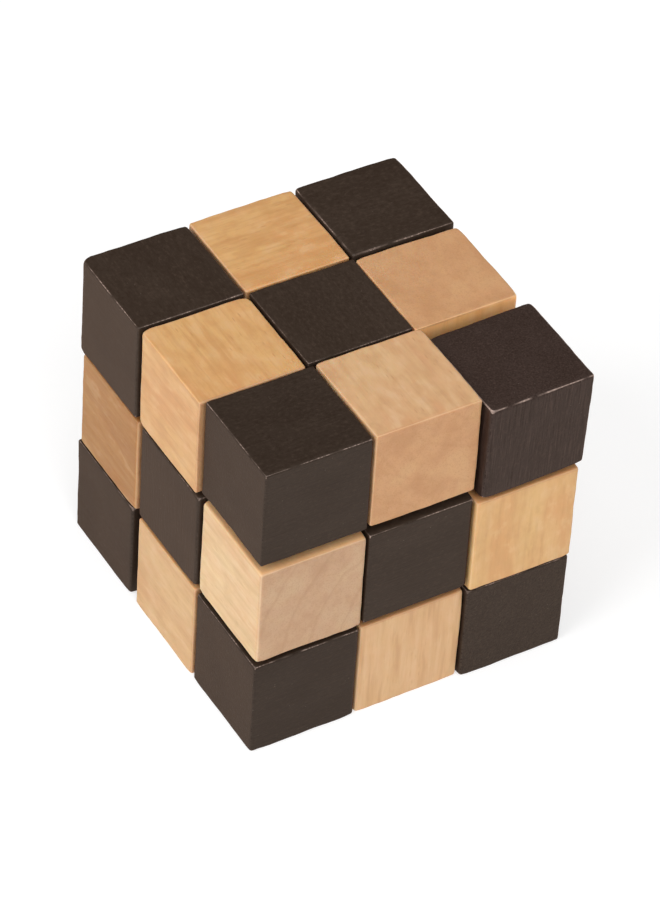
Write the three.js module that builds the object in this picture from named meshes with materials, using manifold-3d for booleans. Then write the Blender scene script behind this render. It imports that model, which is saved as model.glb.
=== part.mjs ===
// Snake cube: twenty-seven wooden cubes threaded on one elastic cord and folded into a block
// of three by three by three. Millimetres, +Z up. The origin is the middle of the block's
// footprint, on the surface that it rests on.
import * as THREE from 'three';
import { RoundedBoxGeometry } from 'three/addons/geometries/RoundedBoxGeometry.js';
import { mergeVertices } from 'three/addons/utils/BufferGeometryUtils.js';
import Module from 'manifold-3d';

// The small cubes
const SIDE = 20;
const HALF = SIDE / 2;
const EDGE_RADIUS = 0.75;
const EDGE_FACETS = 1;
const PITCH = 20.8;               // from one cube's middle to the next one's

// The holes
const BORE_RADIUS = 2.25;
const DRILL_POINT = 1.3;          // height of the cone that a drill leaves at the end of a hole
const POCKET_RADIUS = 3.5;        // wide pocket for the knot in the two end cubes
const POCKET_DEPTH = 6.5;
const BORE_SIDES = 12;
const CUT_OVER = 1;               // how far a cutter sticks out of the wood

// The elastic cord
const CORD_RADIUS = 0.9;
const CORD_SIDES = 8;
const BEND_RADIUS = 3.6;
const REACH = 3.7;                // how far a cube's piece of cord goes into the cube before it
const CORD_STOP = 4;              // where a cube's piece of cord ends, measured in from the way out
const LIFT_REACH = 9.7;           // the same for the piece that rises with the top layer
const SPAN_TAIL = 2.5;            // how far a loose span of cord goes into the cube after it
const PIECE_GAP = 0.3;
const TURNED_STEPS = 9;
const STRAIGHT_STEPS = 3;
const KNOT_RADIUS = 2.8;
const KNOT_HALF_LENGTH = 1.8;
const SPAN_BEFORE = [9, 18];      // the cubes, counted from nought, with a loose span below them
const LONG_SPAN_AFTER = 17;

// The wooden plugs that hide the knots
const PLUG_RADIUS = 3.2;
const PLUG_LENGTH = 2.2;
const PLUG_SUNK = 0.1;
const PLUG_SIDES = 16;

// The way the chain of cubes folds through the block, as steps along the axes
const FIRST_CELL = [0, 2, 0];
const STEPS = {
  '+x': [1, 0, 0], '-x': [-1, 0, 0],
  '+y': [0, 1, 0], '-y': [0, -1, 0],
  '+z': [0, 0, 1],
};
const BOTTOM_FOLDS = ['-y', '-y', '+x', '+y', '+y', '+x', '-y', '-y'];
const MIDDLE_FOLDS = ['-x', '-x', '+y', '+x', '+x', '+y', '-x', '-x'];
const TOP_FOLDS = ['+x', '+x', '-y', '-x', '-x', '-y', '+x', '+x'];
const FOLDS = [...BOTTOM_FOLDS, '+z', ...MIDDLE_FOLDS, '+z', ...TOP_FOLDS];

// How far each cube has settled out of its true place, in the chain's order
const DRIFT = [
  [0.40, 1.05, 0], [0.35, -0.25, 0], [0.35, -0.15, 0],
  [-0.10, 0.05, 0], [-0.05, 0.10, 0], [0, 0.35, 0],
  [-0.40, 0.30, 0], [-0.45, -0.10, 0], [-0.60, -0.65, 0],
  [-0.40, -0.85, -0.50], [0.10, -0.30, 0.45], [0.55, -0.20, 0.20],
  [0.35, -0.25, -0.05], [0, -0.10, 0.10], [-0.35, -0.20, -0.15],
  [-0.35, 0.05, 0], [0, 0.10, 0.05], [0.30, -0.05, -0.10],
  [-0.20, 0.10, 0.20], [-0.45, 0.50, 0.05], [-0.75, 0.45, 0.20],
  [-0.75, 0.45, -0.10], [-0.25, 0.70, 0.25], [0.05, 0.30, 0.10],
  [0.70, 0.25, 0.90], [0.25, 0.10, 1.25], [-0.05, -1.40, 0.20],
];
// The last cube hangs on one side only, and sits slightly turned (degrees about X, Y and Z)
const LAST_CUBE_TURN = [2.1, -0.26, 0.96];

const DARK_STAIN = { color: 0x40352e, roughness: 0.6, metalness: 0 };
const BARE_WOOD = { color: 0xd9ab77, roughness: 0.55, metalness: 0 };
const PLUG_WOOD = { color: 0xb98a58, roughness: 0.65, metalness: 0 };
const BLACK_ELASTIC = { color: 0x18181a, roughness: 0.85, metalness: 0 };

const wasm = await Module();
wasm.setup();

// ---------- solids ----------

function solidOf(geometry) {
  const bare = geometry.clone();
  bare.deleteAttribute('normal');
  bare.deleteAttribute('uv');
  const merged = mergeVertices(bare, 1e-4);
  return new wasm.Manifold(new wasm.Mesh({
    numProp: 3,
    vertProperties: new Float32Array(merged.attributes.position.array),
    triVerts: new Uint32Array(merged.index.array),
  }));
}

function geometryOf(solid) {
  const mesh = solid.getMesh();
  const geometry = new THREE.BufferGeometry();
  geometry.setAttribute('position', new THREE.BufferAttribute(mesh.vertProperties, 3));
  geometry.setIndex(new THREE.BufferAttribute(mesh.triVerts, 1));
  geometry.computeVertexNormals();
  return geometry;
}

function named(name, geometry, finish) {
  const mesh = new THREE.Mesh(geometry, new THREE.MeshStandardMaterial(finish));
  mesh.name = name;
  return mesh;
}

// Turns something made along +Y, so that it points along a direction
function pointAlong(geometry, direction) {
  const turn = new THREE.Quaternion().setFromUnitVectors(new THREE.Vector3(0, 1, 0), direction);
  return geometry.applyQuaternion(turn);
}

// ---------- the chain's layout ----------

function cellsOfChain() {
  const cells = [new THREE.Vector3(...FIRST_CELL)];
  for (const fold of FOLDS) {
    cells.push(cells.at(-1).clone().add(new THREE.Vector3(...STEPS[fold])));
  }
  return cells;
}

// The middles of the cubes, with the whole block centred over the origin
function middlesOfCubes(cells) {
  const middles = cells.map((cell, n) => new THREE.Vector3(...DRIFT[n])
    .add(cell.clone().addScalar(-1).multiplyScalar(PITCH)));
  const block = new THREE.Box3();
  middles.forEach((middle, n) => {
    const reach = halfExtent(n);
    block.expandByPoint(middle.clone().sub(reach));
    block.expandByPoint(middle.clone().add(reach));
  });
  const centre = block.getCenter(new THREE.Vector3());
  return middles.map((middle) => middle.clone().sub(centre).setZ(middle.z - block.min.z));
}

// How far a cube reaches from its middle along each axis; the last one is turned
function halfExtent(n) {
  const corner = new THREE.Vector3(HALF, HALF, HALF);
  if (n < FOLDS.length) return corner;
  const e = new THREE.Matrix4().makeRotationFromEuler(lastCubeTurn()).elements;
  return new THREE.Vector3(...[0, 1, 2].map((row) => HALF
    * (Math.abs(e[row]) + Math.abs(e[row + 4]) + Math.abs(e[row + 8]))));
}

function lastCubeTurn() {
  return new THREE.Euler(...LAST_CUBE_TURN.map((angle) => THREE.MathUtils.degToRad(angle)));
}

function directionsThrough(n) {
  const into = n > 0 ? new THREE.Vector3(...STEPS[FOLDS[n - 1]]) : null;
  const out = n < FOLDS.length ? new THREE.Vector3(...STEPS[FOLDS[n]]) : null;
  return { into, out };
}

// Sideways distance from a cube's middle to where the cord crosses to a neighbour
function sideStep(middle, neighbour, direction) {
  const half = neighbour.clone().sub(middle).multiplyScalar(0.5);
  return half.addScaledVector(direction, -half.dot(direction));
}

// ---------- cubes ----------

// A hole drilled inwards from the face that looks along a direction
function drilled(face, depth, radius) {
  const profile = [
    new THREE.Vector2(0, HALF - depth - DRILL_POINT),
    new THREE.Vector2(radius, HALF - depth),
    new THREE.Vector2(radius, HALF + CUT_OVER),
    new THREE.Vector2(0, HALF + CUT_OVER),
  ];
  return solidOf(pointAlong(new THREE.LatheGeometry(profile, BORE_SIDES), face));
}

function straightHole(face) {
  const length = SIDE + 2 * CUT_OVER;
  const cutter = new THREE.CylinderGeometry(BORE_RADIUS, BORE_RADIUS, length, BORE_SIDES);
  return solidOf(pointAlong(cutter, face));
}

function knotPocket(face) {
  const length = POCKET_DEPTH + CUT_OVER;
  const cutter = new THREE.CylinderGeometry(POCKET_RADIUS, POCKET_RADIUS, length, PLUG_SIDES);
  cutter.translate(0, HALF + CUT_OVER - length / 2, 0);
  return solidOf(pointAlong(cutter, face));
}

function cubeGeometry(n) {
  const { into, out } = directionsThrough(n);
  let wood = solidOf(new RoundedBoxGeometry(SIDE, SIDE, SIDE, EDGE_FACETS, EDGE_RADIUS));
  if (into && out && !into.equals(out)) {
    wood = wood.subtract(drilled(into.clone().negate(), HALF, BORE_RADIUS));
    wood = wood.subtract(drilled(out, HALF, BORE_RADIUS));
    return geometryOf(wood);
  }
  wood = wood.subtract(straightHole(out ?? into));
  if (!into) wood = wood.subtract(knotPocket(out.clone().negate()));
  if (!out) wood = wood.subtract(knotPocket(into));
  return geometryOf(wood);
}

function plugGeometry(face) {
  const plug = new THREE.CylinderGeometry(PLUG_RADIUS, PLUG_RADIUS, PLUG_LENGTH, PLUG_SIDES);
  plug.translate(0, HALF - PLUG_SUNK - PLUG_LENGTH / 2, 0);
  return pointAlong(plug, face);
}

// ---------- elastic cord ----------

function tube(points, steps) {
  const section = new THREE.Shape();
  section.absarc(0, 0, CORD_RADIUS, 0, 2 * Math.PI);
  const route = new THREE.CatmullRomCurve3(points, false, 'centripetal');
  return new THREE.ExtrudeGeometry(section, {
    steps, curveSegments: CORD_SIDES / 2, extrudePath: route,
  });
}

// A point on the middle line through a turning cube: straight in, round a quarter bend, and out
function onTurn(into, out, distance) {
  const run = HALF - BEND_RADIUS;
  const bend = BEND_RADIUS * Math.PI / 2;
  if (distance <= run) return into.clone().multiplyScalar(distance - HALF);
  if (distance >= run + bend) {
    return out.clone().multiplyScalar(BEND_RADIUS + distance - run - bend);
  }
  const angle = (distance - run) / BEND_RADIUS;
  return out.clone().sub(into).multiplyScalar(BEND_RADIUS)
    .addScaledVector(into, BEND_RADIUS * Math.sin(angle))
    .addScaledVector(out, -BEND_RADIUS * Math.cos(angle));
}

// The length of the cord's way through a cube, from face to face
function wayThrough(into, out) {
  return into.equals(out) ? SIDE : 2 * (HALF - BEND_RADIUS) + BEND_RADIUS * Math.PI / 2;
}

// The cord's points inside one cube, from one distance along its way to another
function pointsInCube(into, out, shiftIn, shiftOut, from, to, count) {
  const whole = wayThrough(into, out);
  return Array.from({ length: count + 1 }, (_, i) => {
    const distance = from + (to - from) * i / count;
    const share = THREE.MathUtils.smoothstep(distance / whole, 0, 1);
    const place = into.equals(out)
      ? into.clone().multiplyScalar(distance - HALF)
      : onTurn(into, out, distance);
    return place.addScaledVector(shiftIn, 1 - share).addScaledVector(shiftOut, share);
  });
}

// The first and last pieces end in a knot, which sits in the pocket behind the bore
function knottedCord(n, middles, into, shift) {
  const along = into ?? directionsThrough(n).out;
  const side = into ? 1 : -1;
  const knotMiddle = HALF - POCKET_DEPTH + PIECE_GAP + KNOT_HALF_LENGTH;
  const knot = along.clone().multiplyScalar(side * knotMiddle);
  const mouth = into
    ? reachBack(n, middles, into, shift)
    : along.clone().multiplyScalar(HALF - CORD_STOP).add(shift);
  const lump = new THREE.SphereGeometry(KNOT_RADIUS, BORE_SIDES, CORD_SIDES);
  lump.scale(1, KNOT_HALF_LENGTH / KNOT_RADIUS, 1);
  const knotted = pointAlong(lump, along).translate(knot.x, knot.y, knot.z);
  const ends = into ? [mouth, knot] : [knot, mouth];
  return geometryOf(solidOf(tube(ends, STRAIGHT_STEPS)).add(solidOf(knotted)));
}

// The piece of cord in one cube. A cube that follows a loose span holds a shorter piece, and so
// does the cube whose bend would meet the span that rises with the top layer.
function cordGeometry(n, middles) {
  const { into, out } = directionsThrough(n);
  const shiftIn = into && sideStep(middles[n], middles[n - 1], into);
  const shiftOut = out && sideStep(middles[n], middles[n + 1], out);
  if (!into || !out) return knottedCord(n, middles, into, shiftIn ?? shiftOut);
  if (n === LONG_SPAN_AFTER) {
    const stop = into.clone().multiplyScalar(-CORD_RADIUS - 2 * PIECE_GAP).add(shiftIn);
    return tube([reachBack(n, middles, into, shiftIn), stop], STRAIGHT_STEPS);
  }
  const steps = into.equals(out) ? STRAIGHT_STEPS : TURNED_STEPS;
  const afterSpan = SPAN_BEFORE.includes(n);
  const from = afterSpan ? SPAN_TAIL + PIECE_GAP : 0;
  const to = wayThrough(into, out) - CORD_STOP;
  const points = pointsInCube(into, out, shiftIn, shiftOut, from, to, steps);
  if (!afterSpan) points.unshift(reachBack(n, middles, into, shiftIn));
  return tube(points, steps + 1);
}

// Where a cube's piece of cord begins, inside the bore of the cube before it
function reachBack(n, middles, into, shiftIn) {
  const between = middles[n].clone().sub(middles[n - 1]).dot(into) - SIDE;
  return into.clone().multiplyScalar(-HALF - between - REACH).add(shiftIn);
}

// A loose straight span between two layers, from inside the lower cube to inside the upper one
function spanGeometry(n, middles, reach) {
  const up = new THREE.Vector3(0, 0, 1);
  const shift = sideStep(middles[n], middles[n - 1], up);
  const between = middles[n].z - middles[n - 1].z - SIDE;
  const low = up.clone().multiplyScalar(-HALF - between - reach).add(shift);
  const high = up.clone().multiplyScalar(-HALF + SPAN_TAIL).add(shift);
  return tube([low, high], STRAIGHT_STEPS);
}

// ---------- assembly ----------

const group = new THREE.Group();
const cells = cellsOfChain();
const middles = middlesOfCubes(cells);

cells.forEach((cell, n) => {
  const number = String(n + 1).padStart(2, '0');
  const dark = (cell.x + cell.y + cell.z) % 2 === 0;
  const { into, out } = directionsThrough(n);

  const wood = new THREE.Group();
  wood.position.copy(middles[n]);
  wood.add(named(`cube_${number}`, cubeGeometry(n), dark ? DARK_STAIN : BARE_WOOD));
  if (!into) wood.add(named('plug_first', plugGeometry(out.clone().negate()), PLUG_WOOD));
  if (!out) {
    wood.add(named('plug_last', plugGeometry(into), PLUG_WOOD));
    wood.rotation.copy(lastCubeTurn());
  }
  group.add(wood);

  const cord = named(`elastic_${number}`, cordGeometry(n, middles), BLACK_ELASTIC);
  cord.position.copy(middles[n]);
  group.add(cord);
});

const [lowerSpanAt, upperSpanAt] = SPAN_BEFORE;
const lowerSpan = named('elastic_span_lower', spanGeometry(lowerSpanAt, middles, REACH),
  BLACK_ELASTIC);
lowerSpan.position.copy(middles[lowerSpanAt]);
const upperSpan = named('elastic_span_upper', spanGeometry(upperSpanAt, middles, LIFT_REACH),
  BLACK_ELASTIC);
upperSpan.position.copy(middles[upperSpanAt]);
group.add(lowerSpan, upperSpan);

export default group;
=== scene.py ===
# %% [markdown]
# A snake cube is one long chain: twenty-seven small wooden cubes with an elastic cord drilled
# through all of them. Folded the right way, the chain packs into a block of three by three by
# three. The solid model already says where every cube and every length of cord sits and how each
# one moves. It is loaded first and stays as it is: this script only gives it its looks, so every
# piece made below takes its place from that model and moves with the body that it belongs to.

import math

import bmesh
import bpy
from mathutils import Matrix, Vector, noise


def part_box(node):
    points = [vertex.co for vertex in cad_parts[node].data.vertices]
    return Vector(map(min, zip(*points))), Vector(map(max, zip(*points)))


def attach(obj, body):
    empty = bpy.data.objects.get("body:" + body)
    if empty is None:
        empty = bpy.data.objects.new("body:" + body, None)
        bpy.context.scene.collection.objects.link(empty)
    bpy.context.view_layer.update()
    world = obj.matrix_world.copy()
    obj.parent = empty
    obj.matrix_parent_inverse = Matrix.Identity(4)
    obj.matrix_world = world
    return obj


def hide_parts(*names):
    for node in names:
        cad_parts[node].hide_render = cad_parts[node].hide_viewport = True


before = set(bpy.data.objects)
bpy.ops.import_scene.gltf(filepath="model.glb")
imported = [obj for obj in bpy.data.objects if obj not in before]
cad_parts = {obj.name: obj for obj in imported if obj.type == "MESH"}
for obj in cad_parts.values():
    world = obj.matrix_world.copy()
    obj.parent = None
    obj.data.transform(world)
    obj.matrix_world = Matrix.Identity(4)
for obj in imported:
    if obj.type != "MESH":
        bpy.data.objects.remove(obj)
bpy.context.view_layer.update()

# %% [markdown]
# Lengths are easiest to think about in millimetres, while Blender works in metres. So sizes are
# written in millimetres here, and multiplied by MM only where a mesh or an object is made.

# %% Sizes
MM = 0.001
COUNT = 27
SIDE = 20
HALF = SIDE / 2
PITCH = 20.8
BORE_RADIUS = 2.25
POCKET_RADIUS = 3.5
POCKET_DEPTH = 6.5
DRILL_POINT = 1.3
MOUTH_BREAK = 0.3          # the small bevel that sandpaper leaves round the mouth of a hole
CORD_RADIUS = 0.9

# %% [markdown]
# The chain's route is read back from the model: the middle of each cube, and the direction of the
# step to the next one. The cubes have settled a little out of true, so a step is rounded to the
# nearest whole cell before it is used as a direction. The last cube hangs by one side only, and it
# sits slightly turned.

# %% Where the cubes are
LAST_TURN = (2.1, -0.26, 0.96)


def number(n):
    """The two-digit name of a cube, counted from nought here and from one in the model."""
    return f"{n + 1:02d}"


def middle_of(n):
    low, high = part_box("cube_" + number(n))
    return (low + high) / 2 / MM


def turn_of(n):
    if n < COUNT - 1:
        return Matrix.Identity(3)
    about_x, about_y, about_z = (
        Matrix.Rotation(math.radians(angle), 3, axis)
        for angle, axis in zip(LAST_TURN, "XYZ"))
    return about_x @ about_y @ about_z


MIDDLES = [middle_of(n) for n in range(COUNT)]
STEPS = [
    Vector([round(v / PITCH) for v in MIDDLES[n + 1] - MIDDLES[n]])
    for n in range(COUNT - 1)]
BLOCK_MIDDLE = sum(MIDDLES, Vector()) / COUNT


def cell_of(n):
    return [round(v / PITCH) for v in MIDDLES[n] - BLOCK_MIDDLE]


def is_dark(n):
    """Stained and bare cubes alternate, so the folded block looks like a chessboard."""
    return sum(cell_of(n)) % 2 == 1


def way_in(n):
    return STEPS[n - 1] if n > 0 else None


def way_out(n):
    return STEPS[n] if n < COUNT - 1 else None


print("stained:", [number(n) for n in range(COUNT) if is_dark(n)])

# %% [markdown]
# Each cube is sawn from a square stick and tumbled or sanded until its edges are soft. A bevel of
# one width would look machine-made, because sandpaper takes more off one edge than off the next.
# So the cube is made as six grids of points. A point near an edge is pulled onto a small arc, and
# the size of the arc drifts slowly from place to place. The uprights of these cubes came out
# rounder than the edges round their tops. The flat faces keep a faint swell that only shows in
# the way light slides over them, and the edges keep tiny dents.

# %% A sanded cube
FINE_LINES = [0, 0.08, 0.18, 0.3, 0.45, 0.65, 0.95]   # distances from an edge, in mm
COARSE_LINES = [1.6, 2.7, 3.9, 5.1, 6.3, 7.5, 8.75, 10]
SOFT_EDGE = 0.38
SOFT_UPRIGHT = 0.55
UPRIGHT_SPREAD = 0.3
SOFTER_RIMS = {27: 0.62, 21: 0.60, 12: 0.45}   # round the tops of these cubes
# the uprights of the cubes that are seen best: near, right, left and back
UPRIGHTS = {
    19: (0.42, 0.40, 0.95, 0.60), 20: (0.35, 0.40, 0.40, 0.65), 21: (0.50, 0.60, 0.80, 0.75),
    22: (0.40, 0.75, 0.60, 0.65), 23: (0.40, 0.45, 0.45, 0.45), 24: (0.34, 0.42, 0.95, 0.80),
    25: (0.34, 0.50, 0.30, 0.50), 26: (0.36, 0.50, 0.60, 0.60), 27: (0.75, 0.60, 0.80, 0.85),
    12: (0.60, 0.75, 0.90, 0.60), 3: (0.45, 0.60, 0.60, 0.60), 10: (0.50, 0.65, 0.60, 0.60)}
LEAST_RADIUS = 0.2
UPRIGHT_FROM, UPRIGHT_TO = 8.2, 9.6   # how far out a point starts to belong to an upright
EDGE_DRIFT, DRIFT_LENGTH = 0.22, 8    # how much each one moves a point, and over what length
FACE_SWELL, SWELL_LENGTH = 0.06, 6.5
EDGE_DENT, DENT_LENGTH = 0.07, 1.7
DENT_RISE = 6                         # how soon the dents begin next to a flat
WELD = 0.002


def step_up(value, low, high):
    """Nought below low, one above high, and a smooth rise in between."""
    t = min(1, max(0, (value - low) / (high - low)))
    return t * t * (3 - 2 * t)


def uprights_of(n):
    """The radius of each of a cube's four upright edges."""
    return UPRIGHTS.get(n + 1) or [
        SOFT_UPRIGHT + UPRIGHT_SPREAD * noise.noise(seed_of(n) + Vector((0, 0, 3.3 * k)))
        for k in range(4)]


def softness(point, seed, rim, uprights):
    """The radius that the sanding left near a point of the cube."""
    upright = step_up(min(abs(point.x), abs(point.y)), UPRIGHT_FROM, UPRIGHT_TO)
    here = uprights[(point.x > 0) + 2 * (point.y > 0)]
    across = rim if point.z > 0 else SOFT_EDGE
    radius = across + (here - across) * upright
    return radius + EDGE_DRIFT * noise.noise(point / DRIFT_LENGTH + seed)


def sanded(point, seed, rim, uprights):
    """Moves a point of a sharp cube to where the sanded cube's surface is."""
    radius = max(LEAST_RADIUS, softness(point, seed, rim, uprights))
    reach = HALF - radius
    inner = Vector([min(reach, max(-reach, v)) for v in point])
    outward = (point - inner).normalized()
    near_edge = 1 - max(abs(v) for v in outward)
    swell = FACE_SWELL * noise.noise(point / SWELL_LENGTH + seed * 2)
    dent = EDGE_DENT * noise.noise(point / DENT_LENGTH - seed) * min(1, near_edge * DENT_RISE)
    return inner + outward * (radius + swell + dent)


def grid_lines():
    steps = FINE_LINES + COARSE_LINES
    return [s - HALF for s in steps] + [HALF - s for s in reversed(steps[:-1])]


def cube_shell(seed, rim, uprights):
    """The closed skin of one sanded cube, in millimetres about its own middle."""
    shell = bmesh.new()
    lines = grid_lines()
    for axis in range(3):
        for end in (-1, 1):
            rows = []
            for a in lines:
                row = []
                for b in lines:
                    point = Vector((0, 0, 0))
                    point[axis] = end * HALF
                    point[(axis + 1) % 3] = a
                    point[(axis + 2) % 3] = b
                    row.append(shell.verts.new(sanded(point, seed, rim, uprights)))
                rows.append(row)
            for i in range(len(lines) - 1):
                for j in range(len(lines) - 1):
                    corners = [rows[i][j], rows[i + 1][j], rows[i + 1][j + 1], rows[i][j + 1]]
                    shell.faces.new(corners if end > 0 else reversed(corners))
    bmesh.ops.remove_doubles(shell, verts=shell.verts, dist=WELD)
    return shell


def seed_of(n):
    """A place in the noise that belongs to cube n alone."""
    return Vector((n * 17.3 + 3.1, n * 7.7 + 1.9, n * 11.9 + 5.3))


print("points along each face:", len(grid_lines()))

# %% [markdown]
# A hole is cut by taking a turned shape away from the cube. Its outline is drawn once on one side
# of an axis and spun round it. The outline ends in the cone that a drill leaves, and it widens a
# little at the face, where sandpaper has broken the sharp rim. A cube where the chain runs
# straight has one hole right through. A cube where it turns has two, which meet in the middle.
# The two end cubes have a wide pocket, in which the knot hides behind a plug.

# %% Holes
HOLE_SIDES = 36
CUT_OVER = 1               # how far a cutter sticks out of the wood
MOUTH_LIP = 0.05
MEET_OVER = 0.5            # how far two holes from opposite faces overlap in the middle
END_BORE_DEPTH = SIDE - 1


def spun(outline, sides):
    """Spins (radius, height) pairs round the Z axis. The outline starts and ends on the axis."""
    turned = bmesh.new()
    rings = []
    for radius, height in outline:
        if radius == 0:
            rings.append([turned.verts.new((0, 0, height))])
            continue
        rings.append([
            turned.verts.new((
                radius * math.cos(2 * math.pi * k / sides),
                radius * math.sin(2 * math.pi * k / sides), height))
            for k in range(sides)])
    for lower, upper in zip(rings, rings[1:]):
        for k in range(sides):
            k2 = (k + 1) % sides
            if len(lower) == 1:
                turned.faces.new((lower[0], upper[k2], upper[k]))
            elif len(upper) == 1:
                turned.faces.new((lower[k], lower[k2], upper[0]))
            else:
                turned.faces.new((lower[k], lower[k2], upper[k2], upper[k]))
    bmesh.ops.recalc_face_normals(turned, faces=turned.faces)
    return turned


def hole_outline(depth, radius, pointed=True):
    bottom = HALF - depth
    tip = bottom - (DRILL_POINT if pointed else 0)
    lip = radius + MOUTH_BREAK + MOUTH_LIP
    return [
        (0, tip), (radius, bottom), (radius, HALF - MOUTH_BREAK),
        (lip, HALF + MOUTH_LIP), (lip, HALF + CUT_OVER), (0, HALF + CUT_OVER)]


def holes_of(n):
    """Pairs of the face that a hole starts from and its outline."""
    into, out = way_in(n), way_out(n)
    if into is None or out is None:
        inward = -into if into is not None else out
        outward = -inward
        return [
            (inward, hole_outline(END_BORE_DEPTH, BORE_RADIUS, pointed=False)),
            (outward, hole_outline(POCKET_DEPTH, POCKET_RADIUS, pointed=False))]
    if into == out:
        return [
            (out, hole_outline(HALF + MEET_OVER, BORE_RADIUS)),
            (-into, hole_outline(HALF + MEET_OVER, BORE_RADIUS))]
    return [
        (-into, hole_outline(HALF, BORE_RADIUS)),
        (out, hole_outline(HALF, BORE_RADIUS))]


def pointing(direction):
    """The turn that takes the Z axis to a direction."""
    return Vector((0, 0, 1)).rotation_difference(direction).to_matrix().to_4x4()


def into_object(made, name):
    """Turns a bmesh in millimetres into an object in metres."""
    bmesh.ops.scale(made, vec=(MM, MM, MM), verts=made.verts)
    mesh = bpy.data.meshes.new(name)
    made.to_mesh(mesh)
    made.free()
    piece = bpy.data.objects.new(name, mesh)
    bpy.context.scene.collection.objects.link(piece)
    return piece


def keep_modifiers(piece):
    """Makes what the modifiers show into the piece's own mesh."""
    seen = piece.evaluated_get(bpy.context.evaluated_depsgraph_get())
    mesh = bpy.data.meshes.new_from_object(seen)
    piece.modifiers.clear()
    piece.data = mesh


def smooth(piece, sharp_above=35):
    piece.data.polygons.foreach_set("use_smooth", [True] * len(piece.data.polygons))
    piece.data.set_sharp_from_angle(angle=math.radians(sharp_above))


def drilled_cube(n):
    """The whole wooden cube n, drilled, sanded and put in its place."""
    shell = cube_shell(seed_of(n), SOFTER_RIMS.get(n + 1, SOFT_EDGE), uprights_of(n))
    cube = into_object(shell, "wood_" + number(n))
    cutters = []
    for face, outline in holes_of(n):
        cutter = into_object(spun(outline, HOLE_SIDES), "cutter")
        cutter.matrix_world = pointing(face)
        cut = cube.modifiers.new("hole", "BOOLEAN")
        cut.operation, cut.solver, cut.object = "DIFFERENCE", "EXACT", cutter
        cutters.append(cutter)
    bpy.context.view_layer.update()
    keep_modifiers(cube)
    for cutter in cutters:
        bpy.data.objects.remove(cutter)
    smooth(cube)
    cube.matrix_world = Matrix.Translation(MIDDLES[n] * MM) @ turn_of(n).to_4x4()
    return cube


cubes = [drilled_cube(n) for n in range(COUNT)]
for n, cube in enumerate(cubes):
    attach(cube, "link_" + number(n))
    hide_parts("cube_" + number(n))
print("faces in a cube:", len(cubes[4].data.polygons), "in all:",
      sum(len(cube.data.polygons) for cube in cubes))

# %% [markdown]
# The cord is a round elastic: a rubber core in a braided black sleeve. Each cube carries its own
# length of it, which runs into the cube before through the mouths of the two holes, so the cord
# still bridges the gap when the cubes are pulled apart. In a turning cube the cord rounds the
# inner corner in a quarter bend. The cubes don't line up exactly, so the line drifts sideways on
# its way from one mouth to the other.

# %% The cord's line through one cube
BEND_RADIUS = 3.6
REACH = 3.7
CORD_STOP = 4
LIFT_REACH = 9.7
SPAN_TAIL = 2.5
PIECE_GAP = 0.3
SPAN_BEFORE = (9, 18)
LONG_SPAN_AFTER = 17
KNOT_HALF_LENGTH = 1.8
LINE_STEP = 0.3
SHORT_OF_POCKET = 2        # where the cord stops in an end cube, before the pocket's floor


def side_step(n, other, direction):
    """How far sideways the cord crosses to a neighbour, from the line through a cube's middle."""
    half = (MIDDLES[other] - MIDDLES[n]) / 2
    return half - direction * half.dot(direction)


def on_turn(into, out, distance):
    run = HALF - BEND_RADIUS
    bend = BEND_RADIUS * math.pi / 2
    if distance <= run:
        return into * (distance - HALF)
    if distance >= run + bend:
        return out * (BEND_RADIUS + distance - run - bend)
    angle = (distance - run) / BEND_RADIUS
    return ((out - into) * BEND_RADIUS + into * (BEND_RADIUS * math.sin(angle))
            - out * (BEND_RADIUS * math.cos(angle)))


def way_through(into, out):
    return SIDE if into == out else 2 * (HALF - BEND_RADIUS) + BEND_RADIUS * math.pi / 2


def spaced(start, end):
    """Points on a straight line, a step apart."""
    count = max(2, round((end - start).length / LINE_STEP))
    return [start.lerp(end, k / count) for k in range(count + 1)]


def back_in_cube_before(n):
    into = way_in(n)
    between = (MIDDLES[n] - MIDDLES[n - 1]).dot(into) - SIDE
    return into * (-HALF - between - REACH) + side_step(n, n - 1, into)


def line_through(n):
    """The cord's middle line in cube n, about the cube's own middle."""
    into, out = way_in(n), way_out(n)
    if into is None:
        return spaced(out * (POCKET_DEPTH - HALF + SHORT_OF_POCKET),
                      out * (HALF - CORD_STOP) + side_step(n, n + 1, out))
    if out is None:
        return spaced(back_in_cube_before(n),
                      into * (HALF - POCKET_DEPTH - SHORT_OF_POCKET))
    shift_in = side_step(n, n - 1, into)
    shift_out = side_step(n, n + 1, out)
    if n == LONG_SPAN_AFTER:
        stop = into * (-CORD_RADIUS - 2 * PIECE_GAP) + shift_in
        return spaced(back_in_cube_before(n), stop)
    whole = way_through(into, out)
    start = SPAN_TAIL + PIECE_GAP if n in SPAN_BEFORE else 0
    count = round((whole - CORD_STOP - start) / LINE_STEP)
    line = []
    for k in range(count + 1):
        distance = start + (whole - CORD_STOP - start) * k / count
        share = step_up(distance / whole, 0, 1)
        place = into * (distance - HALF) if into == out else on_turn(into, out, distance)
        line.append(place + shift_in * (1 - share) + shift_out * share)
    if n in SPAN_BEFORE:
        return line
    return spaced(back_in_cube_before(n), line[0])[:-1] + line


def span_line(n, reach):
    """The loose length between two layers, under cube n."""
    up = Vector((0, 0, 1))
    shift = side_step(n, n - 1, up)
    between = MIDDLES[n].z - MIDDLES[n - 1].z - SIDE
    return spaced(up * (-HALF - between - reach) + shift, up * (-HALF + SPAN_TAIL) + shift)


LINES = {n: line_through(n) for n in range(COUNT)}


def length_of(line):
    return sum((b - a).length for a, b in zip(line, line[1:]))


print("cord in the cubes, without the two spans and the knots:",
      round(sum(map(length_of, LINES.values()))), "mm")

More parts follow.
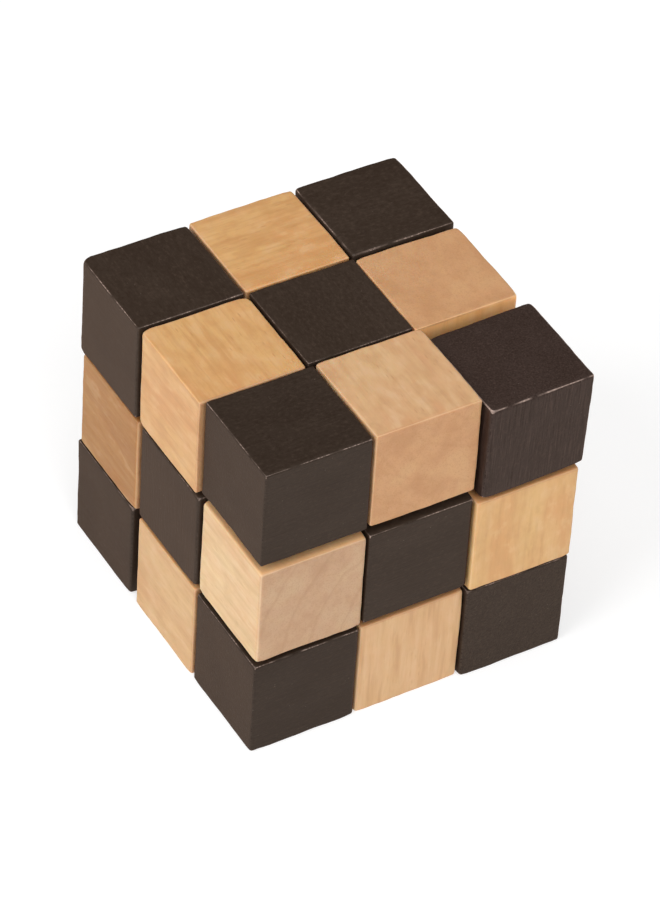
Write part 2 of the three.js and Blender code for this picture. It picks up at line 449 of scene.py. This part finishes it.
# %% [markdown]
# The braid is modelled, not only painted: eight strands cross in a diamond pattern, and each
# bulges a few hundredths of a millimetre as it passes over its neighbour. The tube's rings are
# carried along the line without twisting, so that the strands stay even through the bends.
# A real cord ends in an overhand knot. Here the knot is a closed trefoil loop of the same cord,
# which lies in the pocket by itself: the straight cord stops 2.3 mm before it. Nobody sees the
# two apart, because the wood and the plug hide both. Running the cord on into the loop would
# join them.

# %% A braided cord
CORD_SIDES = 24
STRANDS = 8
BRAID_PITCH = 3.2
BRAID_RELIEF = 0.07
KNOT_STEPS = 96
KNOT_SPREAD = 0.62
CORD_SHARP_ABOVE = 60


def strand_height(angle, distance):
    """One where a strand passes over, and nought between the strands."""
    lean = 2 * math.pi * distance / BRAID_PITCH
    one_way = math.sin(STRANDS / 2 * angle + lean)
    other_way = math.sin(STRANDS / 2 * angle - lean)
    return max(abs(one_way), abs(other_way))


def braided(line, made=None):
    """A braided tube round a line of points, in millimetres."""
    tube = made or bmesh.new()
    side = None
    rings = []
    distance = 0
    for k, point in enumerate(line):
        ahead = (line[min(k + 1, len(line) - 1)] - line[max(k - 1, 0)]).normalized()
        if side is None:
            side = ahead.orthogonal().normalized()
        side = (side - ahead * side.dot(ahead)).normalized()
        other = ahead.cross(side)
        if k:
            distance += (point - line[k - 1]).length
        ring = []
        for s in range(CORD_SIDES):
            angle = 2 * math.pi * s / CORD_SIDES
            radius = CORD_RADIUS - BRAID_RELIEF * (1 - strand_height(angle, distance))
            ring.append(tube.verts.new(
                point + (side * math.cos(angle) + other * math.sin(angle)) * radius))
        rings.append(ring)
    for lower, upper in zip(rings, rings[1:]):
        for s in range(CORD_SIDES):
            s2 = (s + 1) % CORD_SIDES
            tube.faces.new((lower[s], lower[s2], upper[s2], upper[s]))
    tube.faces.new(list(reversed(rings[0])))
    tube.faces.new(rings[-1])
    return tube


def knot_line(along):
    """A closed trefoil, flattened to fit the pocket, as a line round its middle."""
    turn = pointing(along).to_3x3()
    line = []
    for k in range(KNOT_STEPS + 1):
        t = 2 * math.pi * k / KNOT_STEPS
        line.append(turn @ Vector((
            (math.sin(t) + 2 * math.sin(2 * t)) * KNOT_SPREAD,
            (math.cos(t) - 2 * math.cos(2 * t)) * KNOT_SPREAD,
            -math.sin(3 * t) * (KNOT_HALF_LENGTH - CORD_RADIUS))))
    return line


def cord_piece(n):
    tube = braided(LINES[n])
    into, out = way_in(n), way_out(n)
    if into is None or out is None:
        along = -out if into is None else into
        knot_middle = along * (HALF - POCKET_DEPTH + PIECE_GAP + KNOT_HALF_LENGTH)
        braided([knot_middle + p for p in knot_line(along)], tube)
    return tube


def place_cord(tube, name, n, body, node):
    cord = into_object(tube, name)
    smooth(cord, CORD_SHARP_ABOVE)
    cord.location = MIDDLES[n] * MM
    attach(cord, body)
    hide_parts(node)
    return cord


cords = [
    place_cord(cord_piece(n), "cord_" + number(n), n, "link_" + number(n),
               "elastic_" + number(n))
    for n in range(COUNT)]
lower_n, upper_n = SPAN_BEFORE
cords.append(place_cord(braided(span_line(lower_n, REACH)), "cord_span_lower", lower_n,
                        "span_lower", "elastic_span_lower"))
cords.append(place_cord(braided(span_line(upper_n, LIFT_REACH)), "cord_span_upper", upper_n,
                        "span_upper", "elastic_span_upper"))
print("cord pieces:", len(cords))

# %% [markdown]
# The plugs are slices of dowel, glued in over the knots and sanded almost flush. A dowel's end
# shows end grain, and its rim is broken a little, so a thin dark line is left round it.

# %% Plugs
PLUG_RADIUS = 3.2
PLUG_LENGTH = 2.2
PLUG_SUNK = 0.1
PLUG_SIDES = 48
PLUG_BEVEL = 0.2
PLUG_SHARP_ABOVE = 50


def plug(name, n, face):
    top = HALF - PLUG_SUNK
    outline = [
        (0, top - PLUG_LENGTH), (PLUG_RADIUS - PLUG_BEVEL, top - PLUG_LENGTH),
        (PLUG_RADIUS, top - PLUG_LENGTH + PLUG_BEVEL), (PLUG_RADIUS, top - 0.25),
        (PLUG_RADIUS - 0.07, top - 0.1), (PLUG_RADIUS - 0.22, top - 0.02),
        (PLUG_RADIUS * 0.6, top), (0, top)]
    made = spun(outline, PLUG_SIDES)
    made.transform(pointing(face))
    dowel = into_object(made, name + "_dowel")
    smooth(dowel, PLUG_SHARP_ABOVE)
    dowel.matrix_world = Matrix.Translation(MIDDLES[n] * MM) @ turn_of(n).to_4x4()
    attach(dowel, "link_" + number(n))
    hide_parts(name)
    return dowel


plugs = [
    plug("plug_first", 0, -way_out(0)),
    plug("plug_last", COUNT - 1, way_in(COUNT - 1))]
print("plugs:", [piece.name for piece in plugs])

# %% [markdown]
# A material in Blender is a graph of nodes. Written out link by link it is hard to read, so one
# small class stands for a value that changes over a surface, and ordinary Python arithmetic on it
# adds the Math nodes. Everything else goes through one method, which takes the node's type, its
# settings and what goes into its sockets.

# %% Writing shader maths as Python
class Varying:
    """A socket whose value changes over the surface."""

    def __init__(self, bench, socket):
        self.bench = bench
        self.socket = socket

    def maths(self, operation, *values):
        sockets = {k: v for k, v in enumerate((self, *values))}
        return self.bench.node("ShaderNodeMath", {"operation": operation}, sockets)

    def flipped(self, operation, value):
        return self.bench.node("ShaderNodeMath", {"operation": operation}, {0: value, 1: self})

    def __add__(self, other):
        return self.maths("ADD", other)

    def __sub__(self, other):
        return self.maths("SUBTRACT", other)

    def __mul__(self, other):
        return self.maths("MULTIPLY", other)

    def __truediv__(self, other):
        return self.maths("DIVIDE", other)

    def __pow__(self, other):
        return self.maths("POWER", other)

    def __rsub__(self, other):
        return self.flipped("SUBTRACT", other)

    __radd__ = __add__
    __rmul__ = __mul__

    def __abs__(self):
        return self.maths("ABSOLUTE")


class Bench:
    """The workbench for one material: its node tree, and the ways to add to it."""

    def __init__(self, name):
        self.material = bpy.data.materials.new(name)
        self.material.use_nodes = True
        self.tree = self.material.node_tree
        self.tree.nodes.clear()
        self.surface = self.tree.nodes.new("ShaderNodeBsdfPrincipled")
        output = self.tree.nodes.new("ShaderNodeOutputMaterial")
        self.tree.links.new(self.surface.outputs[0], output.inputs["Surface"])

    def feed(self, socket, value):
        if isinstance(value, Varying):
            self.tree.links.new(value.socket, socket)
        else:
            socket.default_value = value

    def node(self, kind, settings=None, sockets=None, output=0):
        made = self.tree.nodes.new(kind)
        for key, value in (settings or {}).items():
            setattr(made, key, value)
        for key, value in (sockets or {}).items():
            self.feed(made.inputs[key], value)
        return Varying(self, made.outputs[output])

    def parts(self, vector):
        """The three numbers of a vector."""
        made = self.node("ShaderNodeSeparateXYZ", sockets={0: vector})
        return [Varying(self, socket) for socket in made.socket.node.outputs]

    def vector(self, x, y, z):
        return self.node("ShaderNodeCombineXYZ", sockets={0: x, 1: y, 2: z})

    def rough_noise(self, vector, detail=2, roughness=0.5):
        return self.node("ShaderNodeTexNoise", sockets={
            "Vector": vector, "Scale": 1.0, "Detail": detail, "Roughness": roughness})

    def rise(self, value, low, high):
        """Nought below low, one above high."""
        return self.node(
            "ShaderNodeMapRange", {"interpolation_type": "SMOOTHSTEP"},
            {0: value, 1: low, 2: high})

    def mixed(self, share, first, second, way="MIX"):
        """Goes from the first colour to the second as share goes from nought to one."""
        return self.node(
            "ShaderNodeMix", {"data_type": "RGBA", "blend_type": way},
            {0: share, 6: first, 7: second}, output=2)

    def bump(self, height, distance, strength=1.0):
        return self.node("ShaderNodeBump", sockets={
            "Height": height, "Distance": distance * MM, "Strength": strength})

    def finish(self, **sockets):
        for key, value in sockets.items():
            self.feed(self.surface.inputs[key.replace("_", " ")], value)
        return self.material


def rgb(red, green, blue):
    return (red, green, blue, 1.0)


print("shader tools ready")

# %% [markdown]
# Wood has to be solid: its grain must run on from one face to the next, and the face across the
# grain has to show rings instead of streaks. So nothing is wrapped round the cube. Every pattern
# is worked out in the cube's own millimetres, with one axis along the grain and two across it,
# and each cube starts at a different place in the same endless timber.

# %% Coordinates inside the timber
AXES = "xyz"


def timber(bench, grain, n):
    """Distances along the grain and in the two directions across it, in millimetres."""
    inside = bench.node("ShaderNodeTexCoord", output="Object")
    in_mm = bench.node("ShaderNodeVectorMath", {"operation": "SCALE"},
                       {0: inside, "Scale": 1 / MM})
    parts = bench.parts(in_mm)
    first = AXES.index(grain)
    along, across, through = (parts[(first + k) % 3] for k in range(3))
    return along, across, through, seed_of(n)


def stretched(bench, place, turn, fine, long):
    """A spot in the noise, drawn out along the grain. Each turn gives a pattern of its own."""
    along, across, through, seed = place
    shift = seed * turn
    return bench.vector(
        across * fine + shift.x, through * fine + shift.y, along * long + shift.z)


def pattern(bench, place, turn, fine, long, detail=2, roughness=0.5):
    """Soft noise. Fine and long are how often it changes across and along the grain."""
    return bench.rough_noise(stretched(bench, place, turn, fine, long), detail, roughness)


def dots(bench, place, turn, fine, long):
    """The distance to the nearest of many scattered dots."""
    return bench.node(
        "ShaderNodeTexVoronoi", {"feature": "F1"},
        {"Vector": stretched(bench, place, turn, fine, long), "Scale": 1.0, "Randomness": 1.0})


def edge_amount(bench):
    """Nought on the flats, one half way round an edge."""
    facing = bench.node("ShaderNodeTexCoord", output="Normal")
    sizes = [abs(part) for part in bench.parts(facing)]
    most = sizes[0].maths("MAXIMUM", sizes[1]).maths("MAXIMUM", sizes[2])
    return bench.rise(1 - most, 0.06, 0.27)


print("timber coordinates ready")

# %% [markdown]
# A board's lights and darks are shades of one colour, and they don't only get brighter or dimmer:
# pale wood loses its blue first when it darkens. Working each shade out from the board's own tone
# keeps them together, so a new tone brings all of its shades with it.

# %% Shades of one tone
def deeper(tone, share):
    """The same colour with more brown in it: blue is lost first, and red last."""
    red, green, blue = tone[:3]
    return rgb(red * share ** 0.7, green * share, blue * share ** 1.3)


def paler(tone):
    red, green, blue = tone[:3]
    return rgb(red + (1 - red) * 0.16, green + (1 - green) * 0.13, blue + (1 - blue) * 0.09)


def pinker(tone):
    red, green, blue = tone[:3]
    return rgb(red * 0.97, green * 0.89, blue * 0.86)


def seam_shade_tone(tone):
    """Painted shade: the oranger colour of faces that lie against another cube and see no light.
    """
    red, green, blue = tone[:3]
    return rgb(red * 1.0, green * 0.78, blue * 0.60)


def yellower(tone):
    red, green, blue = tone[:3]
    return rgb(red * 1.04, green * 1.10, blue * 1.10)


def lifted(tone, share):
    return rgb(*(v * share for v in tone[:3]))


print("shades ready")

# %% [markdown]
# The bare cubes are a pale, close-grained hardwood, sanded and left without varnish. Looked at
# closely, its colour is made of layers. The broadest is a slow drift between yellow and pink.
# Over it lie the growth rings, as soft bands on the long faces and as curved lines on the
# end grain, then streaks a few tenths of a millimetre wide, and last the pores, short brown
# dashes that turn into dots where the grain ends, and that gather in some zones. End grain
# drinks in more dirt and oil, so it is duller, pinker and mottled. Each of these is one noise
# with its own stretch. Light goes a little way into pale wood before it comes out again, which a
# small share of subsurface scattering gives. The edges are made paler: partly wear, and partly a
# painted highlight along the rounded edges. Below the top layer, the tops and bottoms are given
# an oranger tone, a painted shade that makes the seams glow as they do between real cubes.

# %% Light wood
TOP_LAYER_FROM = 18
SEAM_SHADE_SHARE = 0.5
EDGE_WEAR_AND_HIGHLIGHT = 0.42


def light_wood(n, grain, tone, end_tone, ring_width=3.4, ring_middle=(31, 24),
               figure=1.0, streak=1.0, flecks=1.0, rings=1.0, patches=1.0, gloss=0.3):
    bench = Bench("light_wood_" + number(n))
    place = timber(bench, grain, n)
    along, across, through, _ = place

    drift = pattern(bench, place, 1, 0.13, 0.05)
    wander = pattern(bench, place, 1, 0.09, 0.05, detail=1)
    from_heart_a = across - ring_middle[0] + (wander - 0.5) * (7 * figure)
    from_heart_b = through - ring_middle[1] + (drift - 0.5) * (4 * figure)
    radius = (from_heart_a * from_heart_a + from_heart_b * from_heart_b) ** 0.5
    ring = (radius / ring_width).maths("FRACT")
    band = bench.rise(ring, 0.15, 0.95)
    ring_line = bench.rise(ring, 0.80, 0.94) * (1 - bench.rise(ring, 0.94, 1.0))

    cloud = pattern(bench, place, 9, 0.17, 0.045)
    zone = pattern(bench, place, 4, 0.24, 0.06, detail=1)
    mottle = pattern(bench, place, 7, 0.42, 0.26, detail=3, roughness=0.55)
    streaks = pattern(bench, place, 2, 0.95, 0.075)
    fibres = pattern(bench, place, 3, 3.6, 0.3, roughness=0.6)
    pore = dots(bench, place, 5, 1.5, 0.3)
    pores = (1 - bench.rise(pore, 0.06, 0.26)) * bench.rise(zone, 0.4, 0.6)

    end_face = bench.rise(abs(along), HALF - 0.55, HALF - 0.1)
    edge = edge_amount(bench)

    side = bench.mixed(bench.rise(cloud, 0.52, 0.34) * (0.8 * patches), tone, yellower(tone))
    side = bench.mixed(bench.rise(cloud, 0.50, 0.66) * (0.8 * patches), side, pinker(tone))
    side = bench.mixed(bench.rise(mottle, 0.48, 0.68) * (0.40 * patches), side,
                       deeper(tone, 0.82))
    side = bench.mixed(bench.rise(mottle, 0.5, 0.32) * (0.40 * patches), side, paler(tone))
    side = bench.mixed(band * (0.22 * rings), side, deeper(tone, 0.80))
    side = bench.mixed(bench.rise(streaks, 0.50, 0.72) * (0.55 * streak), side,
                       deeper(tone, 0.74))
    side = bench.mixed(bench.rise(streaks, 0.5, 0.30) * (0.30 * streak), side, paler(tone))
    side = bench.mixed(bench.rise(fibres, 0.5, 0.78) * (0.30 * streak), side,
                       deeper(tone, 0.72))
    side = bench.mixed(pores * (0.34 * flecks), side, deeper(tone, 0.55))

    end = bench.mixed(bench.rise(mottle, 0.42, 0.66) * 0.45, end_tone, deeper(end_tone, 0.82))
    end = bench.mixed(bench.rise(cloud, 0.5, 0.32) * (0.6 * patches), end,
                      yellower(end_tone))
    end = bench.mixed(bench.rise(cloud, 0.5, 0.70) * (0.6 * patches), end,
                      deeper(end_tone, 0.82))
    end = bench.mixed(ring_line * (0.34 * min(1, rings)), end, deeper(end_tone, 0.66))
    end = bench.mixed(bench.rise(fibres, 0.45, 0.75) * 0.46, end, deeper(end_tone, 0.70))

    colour = bench.mixed(end_face, side, end)
    # Paler edges: partly wear, and partly a painted highlight along the rounded edges.
    colour = bench.mixed(edge * EDGE_WEAR_AND_HIGHLIGHT, colour, paler(paler(tone)))
    # Painted shade: below the top layer, tops and bottoms turn oranger so that the seams glow
    # warm.
    if n < TOP_LAYER_FROM:
        facing = bench.parts(bench.node("ShaderNodeTexCoord", output="Normal"))
        painted_seam_shade = bench.rise(abs(facing[2]), 0.6, 0.95)
        colour = bench.mixed(painted_seam_shade * SEAM_SHADE_SHARE, colour, seam_shade_tone(tone))

    height = streaks * 0.4 + fibres * 0.5 - pores * 0.8 + end_face * mottle * 0.8
    return bench.finish(
        Base_Color=colour,
        Roughness=0.50 + (fibres - 0.5) * 0.25 + end_face * 0.12,
        Specular_IOR_Level=gloss,
        Subsurface_Weight=0.25, Subsurface_Scale=0.6 * MM,
        Subsurface_Radius=(1.0, 0.38, 0.14),
        Normal=bench.bump(height, 0.022))


print("light wood ready")

# %% [markdown]
# The dark cubes are the same timber, dipped in a brown-black stain. The stain hides most of the
# grain, so what is left is a slow change in depth, a few fine lines that took more or less of it,
# and specks of dust that dried in. Handling rubs the stain off the rims round the tops and
# bottoms first, in short broken stretches, where the paler wood glints through. A narrow paler
# line along those rims is partly that wear and partly a painted highlight.
#
# Over it lies a coat that only tints. Its index of refraction is one, so it has no shine of its
# own, but light that skims the surface crosses more of it and comes back warmer. That keeps the
# stain brown where a plain surface would turn grey. It is a stand-in for wax, and a renderer that
# knows neither the tint nor the index shows a greyer stain, which is why the coat is also rough.

# %% Dark stained wood
DARK = rgb(0.0383, 0.0288, 0.0224)
DARK_PLUM = rgb(0.038, 0.027, 0.024)
WAX = rgb(0.970, 0.892, 0.839)
# The colour of the rubbed rims: bare wood, and also the colour of a painted highlight line.
RUBBED_AND_HIGHLIGHT = rgb(0.36, 0.29, 0.26)
DUST = rgb(0.22, 0.19, 0.165)


def dark_wood(n, grain, tone=DARK, line_depth=0.16, rubbing=1.0, relief=0.05):
    bench = Bench("dark_wood_" + number(n))
    place = timber(bench, grain, n)
    along, across, through, _ = place

    depth = pattern(bench, place, 1, 0.16, 0.08, detail=3)
    lines = pattern(bench, place, 2, 3.2, 0.16, detail=3, roughness=0.65)
    cloth = pattern(bench, place, 3, 1.7, 1.1, detail=3, roughness=0.7)
    speck = dots(bench, place, 5, 0.85, 0.8)
    specks = 1 - bench.rise(speck, 0.03, 0.10)
    specks = specks * bench.rise(depth, 0.48, 0.62)

    edge = edge_amount(bench)
    # the block's own up and down is one of these three, depending on how the grain runs
    upward = (along, across, through)[(2 - AXES.index(grain)) % 3]
    rim = edge * bench.rise(abs(upward), HALF - 0.9, HALF - 0.35)
    stretches = pattern(bench, place, 7, 0.33, 0.33, detail=1)
    beads = pattern(bench, place, 8, 2.6, 2.6, roughness=0.6)
    # The narrow line along the rims is partly rubbed stain and partly a painted highlight; the
    # broken stretches are wear.
    rubbed_and_highlight_line = bench.rise(rim, 0.25, 0.9) * bench.rise(stretches, 0.30, 0.52) * (0.28 * rubbing)
    bare = (bench.rise(rim, 0.45, 0.9) * bench.rise(stretches, 0.42, 0.58)
            * bench.rise(beads, 0.48, 0.58) * (0.90 * rubbing))

    colour = bench.mixed(bench.rise(depth, 0.3, 0.7), deeper(tone, 0.90), lifted(tone, 1.10))
    colour = bench.mixed(bench.rise(lines, 0.50, 0.75) * line_depth, colour, lifted(tone, 1.75))
    colour = bench.mixed(bench.rise(lines, 0.50, 0.28) * line_depth, colour, deeper(tone, 0.45))
    colour = bench.mixed(bench.rise(cloth, 0.50, 0.72) * 0.55, colour, lifted(tone, 1.7))
    colour = bench.mixed(bench.rise(cloth, 0.50, 0.28) * 0.55, colour, deeper(tone, 0.62))
    colour = bench.mixed(specks * 0.4, colour, DUST)
    colour = bench.mixed(rubbed_and_highlight_line, colour, RUBBED_AND_HIGHLIGHT)
    colour = bench.mixed(bare, colour, RUBBED_AND_HIGHLIGHT)

    height = lines * 0.7 + cloth * 0.5 + specks * 0.6
    return bench.finish(
        Base_Color=colour,
        Roughness=0.50 + (cloth - 0.5) * 0.30 + (lines - 0.5) * 0.12 - edge * 0.22,
        Specular_IOR_Level=0.18, Coat_Weight=1.0, Coat_IOR=1.0, Coat_Roughness=0.6,
        Coat_Tint=WAX,
        Normal=bench.bump(height, relief))


print("dark stained wood ready")

# %% [markdown]
# No two cubes are cut from the same board, so each bare one gets its own tone and the direction
# in which its grain runs: straw, honey, cream, rose, and one brown cube with a wavy figure. The
# stained ones differ only in where their grain runs and in how much their edges are rubbed.

# %% Which cube is which
HONEY = rgb(0.625, 0.345, 0.142)
HONEY_PALE = rgb(0.655, 0.385, 0.165)
STRAW = rgb(0.635, 0.388, 0.196)
STRAW_PALE = rgb(0.600, 0.360, 0.170)
CREAM = rgb(0.700, 0.465, 0.250)
ROSE = rgb(0.610, 0.365, 0.190)
BROWN = rgb(0.390, 0.190, 0.066)
GOLD = rgb(1.000, 0.520, 0.200)
END_ROSE = rgb(0.560, 0.305, 0.150)
END_GREY = rgb(0.520, 0.325, 0.195)

LIGHT_CUBES = {
    2: dict(grain="y", tone=STRAW_PALE, end_tone=END_ROSE, streak=0.45, patches=1.2),
    4: dict(grain="z", tone=STRAW, end_tone=END_ROSE, streak=1.2, flecks=0.6, patches=0.5),
    6: dict(grain="x", tone=HONEY, end_tone=END_ROSE),
    8: dict(grain="z", tone=STRAW, end_tone=END_GREY),
    10: dict(grain="z", tone=HONEY_PALE, end_tone=END_ROSE, ring_width=5.2, streak=0.55,
             flecks=0.5, patches=1.3),
    12: dict(grain="y", tone=CREAM, end_tone=END_GREY, ring_width=5.6, ring_middle=(-12, 22),
             rings=0.8, streak=0.8, patches=1.3),
    14: dict(grain="y", tone=HONEY, end_tone=END_ROSE),
    16: dict(grain="x", tone=ROSE, end_tone=END_GREY),
    18: dict(grain="y", tone=BROWN, end_tone=END_ROSE, figure=2.2, ring_width=5.0, rings=2.6,
             streak=0.5, patches=1.2, gloss=0.15),
    20: dict(grain="x", tone=HONEY, end_tone=END_ROSE, ring_width=4.2, streak=0.8,
             patches=1.4),
    22: dict(grain="z", tone=GOLD, end_tone=END_ROSE, rings=0.2, streak=0.6),
    24: dict(grain="y", tone=HONEY, end_tone=END_ROSE, streak=0.8, flecks=1.2, patches=1.3),
    26: dict(grain="y", tone=ROSE, end_tone=END_ROSE, ring_width=6.0, rings=0.5, streak=0.6,
             patches=1.4),
}
DARK_CUBES = {
    1: dict(grain="y", tone=lifted(DARK, 0.84)),
    3: dict(grain="x", tone=lifted(DARK, 0.80), rubbing=0.9),
    5: dict(grain="z"),
    7: dict(grain="x"),
    9: dict(grain="y", tone=lifted(DARK, 0.90), line_depth=0.9, relief=0.07),
    11: dict(grain="x", tone=lifted(DARK, 0.90), rubbing=1.2),
    13: dict(grain="z", rubbing=0.6),
    15: dict(grain="y"),
    17: dict(grain="z"),
    19: dict(grain="y"),
    21: dict(grain="x"),
    23: dict(grain="y", rubbing=0.5),
    25: dict(grain="x", tone=lifted(DARK, 0.87), rubbing=0.8),
    27: dict(grain="z", tone=DARK_PLUM, line_depth=0.95, rubbing=2.2, relief=0.09),
}

for n, cube in enumerate(cubes):
    cube.data.materials.clear()
    if is_dark(n):
        cube.data.materials.append(dark_wood(n, **DARK_CUBES[n + 1]))
    else:
        cube.data.materials.append(light_wood(n, **LIGHT_CUBES[n + 1]))
print("woods:", len(LIGHT_CUBES), "light and", len(DARK_CUBES), "dark")

# %% [markdown]
# The plugs are a browner wood than the cubes, and only their end grain shows: fine rings round a
# heart that is rarely in the middle. The cord's sleeve is black polyester. Its threads are too
# fine to model, so a bump with a thread's pitch lies over the modelled braid, and its roughness
# follows the same threads.

# %% Plugs and cord
DOWEL = rgb(0.42, 0.235, 0.105)
SLEEVE = rgb(0.012, 0.012, 0.013)
SLEEVE_WORN = rgb(0.045, 0.044, 0.045)


def dowel_wood(n, grain):
    bench = Bench("dowel_" + number(n))
    place = timber(bench, grain, n)
    _, across, through, _ = place
    wander = pattern(bench, place, 1, 0.4, 0.2)
    a = across - 1.1 + (wander - 0.5) * 0.8
    b = through + 0.7
    ring = (((a * a + b * b) ** 0.5) / 0.55).maths("FRACT")
    speckle = pattern(bench, place, 1, 6, 1.5, detail=3)
    colour = bench.mixed(bench.rise(ring, 0.3, 1.0) * 0.5, DOWEL, deeper(DOWEL, 0.6))
    colour = bench.mixed(bench.rise(speckle, 0.45, 0.8) * 0.5, colour, deeper(DOWEL, 0.45))
    return bench.finish(
        Base_Color=colour, Roughness=0.6 + speckle * 0.2,
        Normal=bench.bump(ring * 0.4 + speckle, 0.03))


def sleeve():
    bench = Bench("braided_sleeve")
    inside = bench.node("ShaderNodeTexCoord", output="Object")
    in_mm = bench.node("ShaderNodeVectorMath", {"operation": "SCALE"},
                       {0: inside, "Scale": 1 / MM})
    threads = bench.node(
        "ShaderNodeTexNoise", sockets={"Vector": in_mm, "Scale": 9.0, "Detail": 3.0})
    fuzz = bench.node(
        "ShaderNodeTexNoise", sockets={"Vector": in_mm, "Scale": 1.3, "Detail": 2.0})
    colour = bench.mixed(bench.rise(threads, 0.4, 0.8), SLEEVE, SLEEVE_WORN)
    return bench.finish(
        Base_Color=colour, Roughness=0.62 + threads * 0.25 + (fuzz - 0.5) * 0.1,
        Normal=bench.bump(threads, 0.06))


for piece, n, face in zip(plugs, (0, COUNT - 1), (way_out(0), way_in(COUNT - 1))):
    grain = AXES[max(range(3), key=lambda k: abs(face[k]))]
    piece.data.materials.append(dowel_wood(n, grain))
cord_material = sleeve()
for cord in cords:
    cord.data.materials.append(cord_material)
print("materials:", len(bpy.data.materials))

# %% [markdown]
# The block stands on a plain white table top, large enough that its edge is never seen. It is
# not part of the object. It gives off a little light of its own, which keeps it white where the
# lights are weak. The price is that shadows on it come out very faint.

# %% Table top
FLOOR_SIZE = 6.0
FLOOR_GREY = rgb(0.5, 0.5, 0.5)
FLOOR_GLOW = 0.57
WHITE = rgb(1, 1, 1)


def table_top():
    made = bmesh.new()
    bmesh.ops.create_grid(made, x_segments=1, y_segments=1, size=FLOOR_SIZE / 2 / MM)
    top = into_object(made, "table_top")
    bench = Bench("white_table")
    top.data.materials.append(bench.finish(
        Base_Color=FLOOR_GREY, Roughness=0.8, Specular_IOR_Level=0.1,
        Emission_Color=WHITE, Emission_Strength=FLOOR_GLOW))
    return top


table_top()
print("table top:", FLOOR_SIZE, "m")

# %% [markdown]
# The light is that of a small product studio. A large soft box on the left lights the left-hand
# faces most, a second one in front fills the right-hand faces, and a third hangs above. Nothing
# bright stands behind, because the stained tops would mirror it and turn grey. Two weak, low
# lights at the back keep the far sides from going black when the block is seen from there.

# %% Lights
AIM = BLOCK_MIDDLE * MM
BOX_DISTANCE = 1.6
LARGE_BOX, SMALL_BOX = 1.1, 0.7
BACK_POWER = 2.1
WORLD_STRENGTH = 0.05


def soft_box(name, azimuth, elevation, size, power):
    """A square area light that looks at the block. Azimuth 0 is in front, 90 is on the left."""
    lamp = bpy.data.lights.new(name, "AREA")
    lamp.shape = "SQUARE"
    lamp.size = size
    lamp.energy = power
    holder = bpy.data.objects.new(name, lamp)
    bpy.context.scene.collection.objects.link(holder)
    a, e = math.radians(azimuth), math.radians(elevation)
    away = Vector((-math.sin(a) * math.cos(e), -math.cos(a) * math.cos(e), math.sin(e)))
    holder.location = AIM + away * BOX_DISTANCE
    holder.rotation_euler = away.to_track_quat("Z", "Y").to_euler()
    return holder


soft_box("left_box", azimuth=84, elevation=38, size=LARGE_BOX, power=17.0)
soft_box("front_box", azimuth=8, elevation=40, size=LARGE_BOX, power=14.4)
soft_box("top_box", azimuth=30, elevation=80, size=LARGE_BOX, power=9.8)
soft_box("back_left_box", azimuth=150, elevation=14, size=SMALL_BOX, power=BACK_POWER)
soft_box("back_right_box", azimuth=-120, elevation=14, size=SMALL_BOX, power=BACK_POWER)

world = bpy.data.worlds.new("studio")
bpy.context.scene.world = world
world.use_nodes = True
world.node_tree.nodes["Background"].inputs["Color"].default_value = WHITE
world.node_tree.nodes["Background"].inputs["Strength"].default_value = WORLD_STRENGTH
bpy.context.scene.view_settings.view_transform = "Standard"

# %% [markdown]
# The camera looks down on one corner of the block from well above, through a long lens, so the
# edges stay nearly parallel. It is rolled a few degrees, which tips the whole block to one side
# in the picture.

# %% Camera
CAMERA_AZIMUTH = 32.32
CAMERA_ELEVATION = 42.305
CAMERA_DISTANCE = 832.5
CAMERA_ROLL = 3.797
LENS = 196.25
SENSOR_WIDTH = 36
SHIFT = (0.0055, 0.0008)
GRID_MIDDLE = Vector((0.02, 0.44, 30.8))

a, e = math.radians(CAMERA_AZIMUTH), math.radians(CAMERA_ELEVATION)
back = Vector((-math.sin(a) * math.cos(e), -math.cos(a) * math.cos(e), math.sin(e)))
camera_data = bpy.data.cameras.new("camera")
camera_data.lens = LENS
camera_data.sensor_width = SENSOR_WIDTH
camera_data.shift_x, camera_data.shift_y = SHIFT
camera_data.clip_start, camera_data.clip_end = 0.01, 20
camera = bpy.data.objects.new("camera", camera_data)
bpy.context.scene.collection.objects.link(camera)
level = (-back).to_track_quat("-Z", "Y").to_matrix()
camera.matrix_world = (
    Matrix.Translation((GRID_MIDDLE + back * CAMERA_DISTANCE) * MM)
    @ (level @ Matrix.Rotation(math.radians(CAMERA_ROLL), 3, "Z")).to_4x4())
bpy.context.scene.camera = camera
print("camera at", [round(v, 3) for v in camera.matrix_world.translation])
